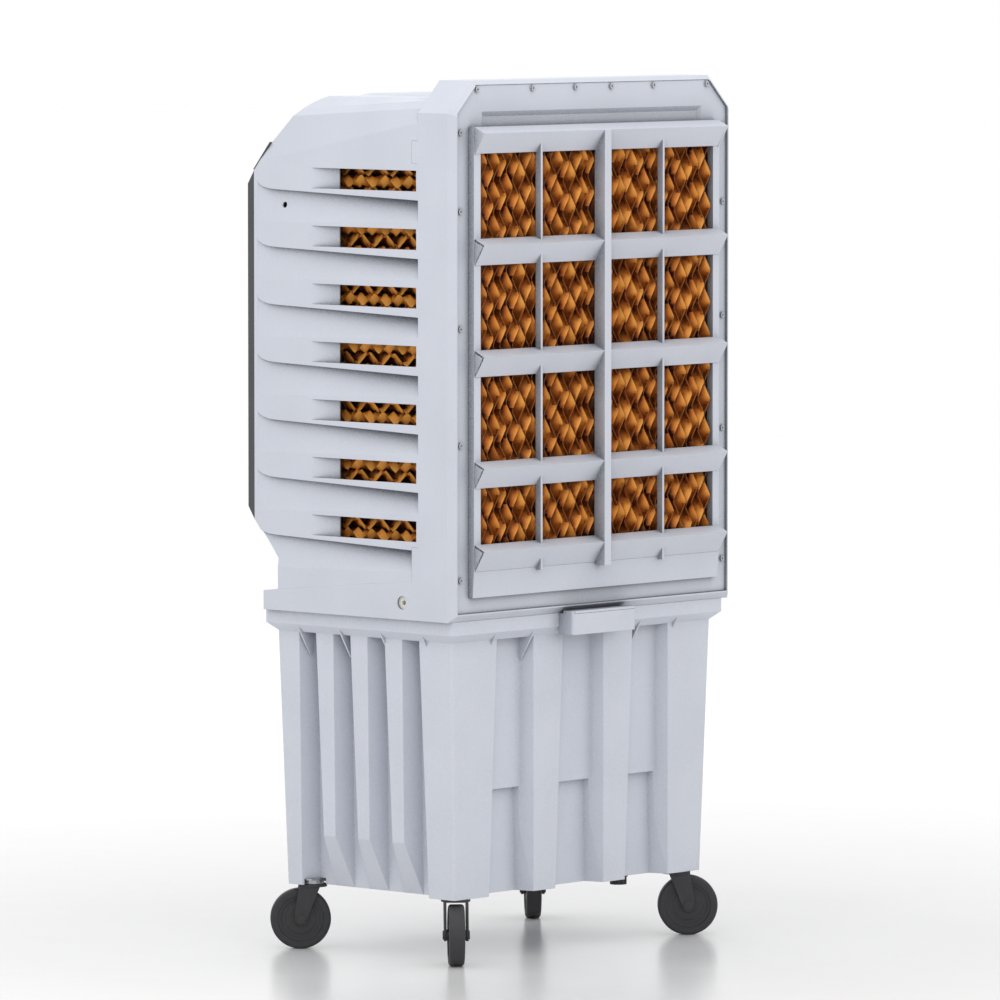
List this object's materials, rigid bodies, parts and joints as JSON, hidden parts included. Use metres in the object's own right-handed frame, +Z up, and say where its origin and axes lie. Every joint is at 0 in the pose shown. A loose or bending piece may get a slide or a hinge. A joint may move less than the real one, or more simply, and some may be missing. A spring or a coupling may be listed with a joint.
{
  "type": "evaporative cooler",
  "caption": "Mobile evaporative air cooler: louvred hood with side and rear wet pads, axial fan, adjustable outlet louvres, water tank and swivel castors.",
  "frame": {"origin": "on the floor under the middle of the machine", "axes": "+Z up; the air leaves towards -Y and the removable pad frame is on the +Y side"},
  "size_m": [0.69, 0.4985, 1.436],
  "materials": {
    "casing_plastic": "light bluish grey moulded polypropylene, satin with a fine grain",
    "fascia_plastic": "charcoal moulded ABS, satin",
    "knob_plastic": "black moulded ABS, semi-gloss",
    "pad_paper": "resin-stiffened brown corrugated cellulose, matt",
    "screw_steel": "zinc plated",
    "black_plastic": "black moulded plastic, satin",
    "fan_plastic": "dark grey glass-filled plastic",
    "float_plastic": "white blow-moulded plastic",
    "motor_paint": "grey enamel",
    "bracket_steel": "black powder coat",
    "guard_wire": "black powder-coated wire",
    "hose_rubber": "black flexible hose",
    "castor_plastic": "black moulded nylon",
    "wheel_plastic": "black moulded polypropylene",
    "tyre_rubber": "black solid rubber",
    "axle_steel": "zinc plated steel"
  },
  "bodies": {
    "cabinet": {"water_tank": "casing_plastic", "rear_casing": "casing_plastic", "front_casing": "casing_plastic", "front_fascia": "fascia_plastic", "control_panel": "fascia_plastic", "rear_cover_plate": "casing_plastic", "panel_screws": "screw_steel", "side_pad_left": "pad_paper", "side_pad_right": "pad_paper", "fan_shroud": "black_plastic", "fan_motor": "motor_paint", "motor_bracket": "bracket_steel", "fan_guard": "guard_wire", "swing_motor": "black_plastic", "water_distributor": "black_plastic", "pump": "black_plastic", "supply_hose": "hose_rubber", "float_valve": "black_plastic", "drain_fitting": "black_plastic", "fill_hopper": "casing_plastic", "castor_plates": "castor_plastic"},
    "pad_frame": {"rear_grille": "casing_plastic", "rear_pad": "pad_paper"},
    "fan": {"fan_impeller": "fan_plastic"},
    "float": {"float_arm": "float_plastic"},
    "plug": {"drain_plug": "black_plastic"},
    "lid": {"fill_lid": "casing_plastic"},
    "speed_knob": {"speed_knob": "knob_plastic"},
    "function_knob": {"function_knob": "knob_plastic"},
    "blade_1": {"outlet_blade_1": "fascia_plastic"},
    "blade_2": {"outlet_blade_2": "fascia_plastic"},
    "blade_3": {"outlet_blade_3": "fascia_plastic"},
    "blade_4": {"outlet_blade_4": "fascia_plastic"},
    "blade_5": {"outlet_blade_5": "fascia_plastic"},
    "blade_6": {"outlet_blade_6": "fascia_plastic"},
    "vane_1": {"outlet_vane_1": "fascia_plastic"},
    "vane_2": {"outlet_vane_2": "fascia_plastic"},
    "vane_3": {"outlet_vane_3": "fascia_plastic"},
    "vane_4": {"outlet_vane_4": "fascia_plastic"},
    "vane_5": {"outlet_vane_5": "fascia_plastic"},
    "blade_link": {"blade_link": "fascia_plastic"},
    "vane_link": {"vane_link": "fascia_plastic"},
    "castor_front_left": {"castor_fork_front_left": "castor_plastic", "castor_axle_front_left": "axle_steel"},
    "wheel_front_left": {"castor_wheel_front_left": "wheel_plastic", "castor_tyre_front_left": "tyre_rubber"},
    "castor_front_right": {"castor_fork_front_right": "castor_plastic", "castor_axle_front_right": "axle_steel"},
    "wheel_front_right": {"castor_wheel_front_right": "wheel_plastic", "castor_tyre_front_right": "tyre_rubber"},
    "castor_rear_left": {"castor_fork_rear_left": "castor_plastic", "castor_axle_rear_left": "axle_steel"},
    "wheel_rear_left": {"castor_wheel_rear_left": "wheel_plastic", "castor_tyre_rear_left": "tyre_rubber"},
    "castor_rear_right": {"castor_fork_rear_right": "castor_plastic", "castor_axle_rear_right": "axle_steel"},
    "wheel_rear_right": {"castor_wheel_rear_right": "wheel_plastic", "castor_tyre_rear_right": "tyre_rubber"}
  },
  "joints": [
    {"name": "fan_spin", "type": "hinge", "parent": "cabinet", "child": "fan", "pos_m": [0, -0.095, 0.985], "axis": [0, 1, 0], "continuous": true},
    {"name": "pad_frame_slide", "type": "slide", "parent": "cabinet", "child": "pad_frame", "axis": [0, 1, 0], "range_m": [0, 0.12]},
    {"name": "float_lift", "type": "hinge", "parent": "cabinet", "child": "float", "pos_m": [0.292, 0.11, 0.585], "axis": [0, 1, 0], "range_deg": [0, 12]},
    {"name": "drain_plug_turn", "type": "hinge", "parent": "cabinet", "child": "plug", "pos_m": [-0.16, 0.131, 0.1], "axis": [0, 0, 1], "continuous": true},
    {"name": "fill_lid_hinge", "type": "hinge", "parent": "cabinet", "child": "lid", "pos_m": [0, 0.2255, 0.566], "axis": [1, 0, 0], "range_deg": [0, 85]},
    {"name": "speed_knob_turn", "type": "hinge", "parent": "cabinet", "child": "speed_knob", "pos_m": [-0.09, -0.202, 1.307], "axis": [0, -0.771, 0.6369], "range_deg": [0, 270]},
    {"name": "function_knob_turn", "type": "hinge", "parent": "cabinet", "child": "function_knob", "pos_m": [0.09, -0.202, 1.307], "axis": [0, -0.771, 0.6369], "range_deg": [0, 270]},
    {"name": "blade_1_tilt", "type": "hinge", "parent": "cabinet", "child": "blade_1", "pos_m": [0, -0.228, 0.78417], "axis": [1, 0, 0], "range_deg": [-30, 30]},
    {"name": "blade_2_tilt", "type": "hinge", "parent": "cabinet", "child": "blade_2", "pos_m": [0, -0.228, 0.8625], "axis": [1, 0, 0], "range_deg": [-30, 30]},
    {"name": "blade_3_tilt", "type": "hinge", "parent": "cabinet", "child": "blade_3", "pos_m": [0, -0.228, 0.94083], "axis": [1, 0, 0], "range_deg": [-30, 30]},
    {"name": "blade_4_tilt", "type": "hinge", "parent": "cabinet", "child": "blade_4", "pos_m": [0, -0.228, 1.01917], "axis": [1, 0, 0], "range_deg": [-30, 30]},
    {"name": "blade_5_tilt", "type": "hinge", "parent": "cabinet", "child": "blade_5", "pos_m": [0, -0.228, 1.0975], "axis": [1, 0, 0], "range_deg": [-30, 30]},
    {"name": "blade_6_tilt", "type": "hinge", "parent": "cabinet", "child": "blade_6", "pos_m": [0, -0.228, 1.17583], "axis": [1, 0, 0], "range_deg": [-30, 30]},
    {"name": "vane_1_swing", "type": "hinge", "parent": "cabinet", "child": "vane_1", "pos_m": [-0.216, -0.178, 0.98], "axis": [0, 0, 1], "range_deg": [-30, 30]},
    {"name": "vane_2_swing", "type": "hinge", "parent": "cabinet", "child": "vane_2", "pos_m": [-0.108, -0.178, 0.98], "axis": [0, 0, 1], "range_deg": [-30, 30]},
    {"name": "vane_3_swing", "type": "hinge", "parent": "cabinet", "child": "vane_3", "pos_m": [0, -0.178, 0.98], "axis": [0, 0, 1], "range_deg": [-30, 30]},
    {"name": "vane_4_swing", "type": "hinge", "parent": "cabinet", "child": "vane_4", "pos_m": [0.108, -0.178, 0.98], "axis": [0, 0, 1], "range_deg": [-30, 30]},
    {"name": "vane_5_swing", "type": "hinge", "parent": "cabinet", "child": "vane_5", "pos_m": [0.216, -0.178, 0.98], "axis": [0, 0, 1], "range_deg": [-30, 30]},
    {"name": "blade_link_swing", "type": "hinge", "parent": "blade_1", "child": "blade_link", "pos_m": [0, -0.214, 0.78417], "axis": [1, 0, 0], "range_deg": [-30, 30]},
    {"name": "vane_link_swing", "type": "hinge", "parent": "vane_1", "child": "vane_link", "pos_m": [-0.216, -0.164, 0.98], "axis": [0, 0, 1], "range_deg": [-30, 30]},
    {"name": "castor_front_left_swivel", "type": "hinge", "parent": "cabinet", "child": "castor_front_left", "pos_m": [-0.272, -0.16, 0.1], "axis": [0, 0, 1], "continuous": true},
    {"name": "wheel_front_left_roll", "type": "hinge", "parent": "castor_front_left", "child": "wheel_front_left", "pos_m": [-0.28614, -0.17414, 0.05], "axis": [0.7071, -0.7071, 0], "continuous": true},
    {"name": "castor_front_right_swivel", "type": "hinge", "parent": "cabinet", "child": "castor_front_right", "pos_m": [0.272, -0.16, 0.1], "axis": [0, 0, 1], "continuous": true},
    {"name": "wheel_front_right_roll", "type": "hinge", "parent": "castor_front_right", "child": "wheel_front_right", "pos_m": [0.28614, -0.17414, 0.05], "axis": [0.7071, 0.7071, 0], "continuous": true},
    {"name": "castor_rear_left_swivel", "type": "hinge", "parent": "cabinet", "child": "castor_rear_left", "pos_m": [-0.272, 0.16, 0.1], "axis": [0, 0, 1], "continuous": true},
    {"name": "wheel_rear_left_roll", "type": "hinge", "parent": "castor_rear_left", "child": "wheel_rear_left", "pos_m": [-0.28614, 0.17414, 0.05], "axis": [-0.7071, -0.7071, 0], "continuous": true},
    {"name": "castor_rear_right_swivel", "type": "hinge", "parent": "cabinet", "child": "castor_rear_right", "pos_m": [0.272, 0.16, 0.1], "axis": [0, 0, 1], "continuous": true},
    {"name": "wheel_rear_right_roll", "type": "hinge", "parent": "castor_rear_right", "child": "wheel_rear_right", "pos_m": [0.28614, 0.17414, 0.05], "axis": [-0.7071, 0.7071, 0], "continuous": true}
  ],
  "couplings": [
    {"joint": "blade_2_tilt", "follows": "blade_1_tilt", "ratio": 1},
    {"joint": "blade_3_tilt", "follows": "blade_1_tilt", "ratio": 1},
    {"joint": "blade_4_tilt", "follows": "blade_1_tilt", "ratio": 1},
    {"joint": "blade_5_tilt", "follows": "blade_1_tilt", "ratio": 1},
    {"joint": "blade_6_tilt", "follows": "blade_1_tilt", "ratio": 1},
    {"joint": "vane_2_swing", "follows": "vane_1_swing", "ratio": 1},
    {"joint": "vane_3_swing", "follows": "vane_1_swing", "ratio": 1},
    {"joint": "vane_4_swing", "follows": "vane_1_swing", "ratio": 1},
    {"joint": "vane_5_swing", "follows": "vane_1_swing", "ratio": 1},
    {"joint": "blade_link_swing", "follows": "blade_1_tilt", "ratio": -1},
    {"joint": "vane_link_swing", "follows": "vane_1_swing", "ratio": -1}
  ]
}
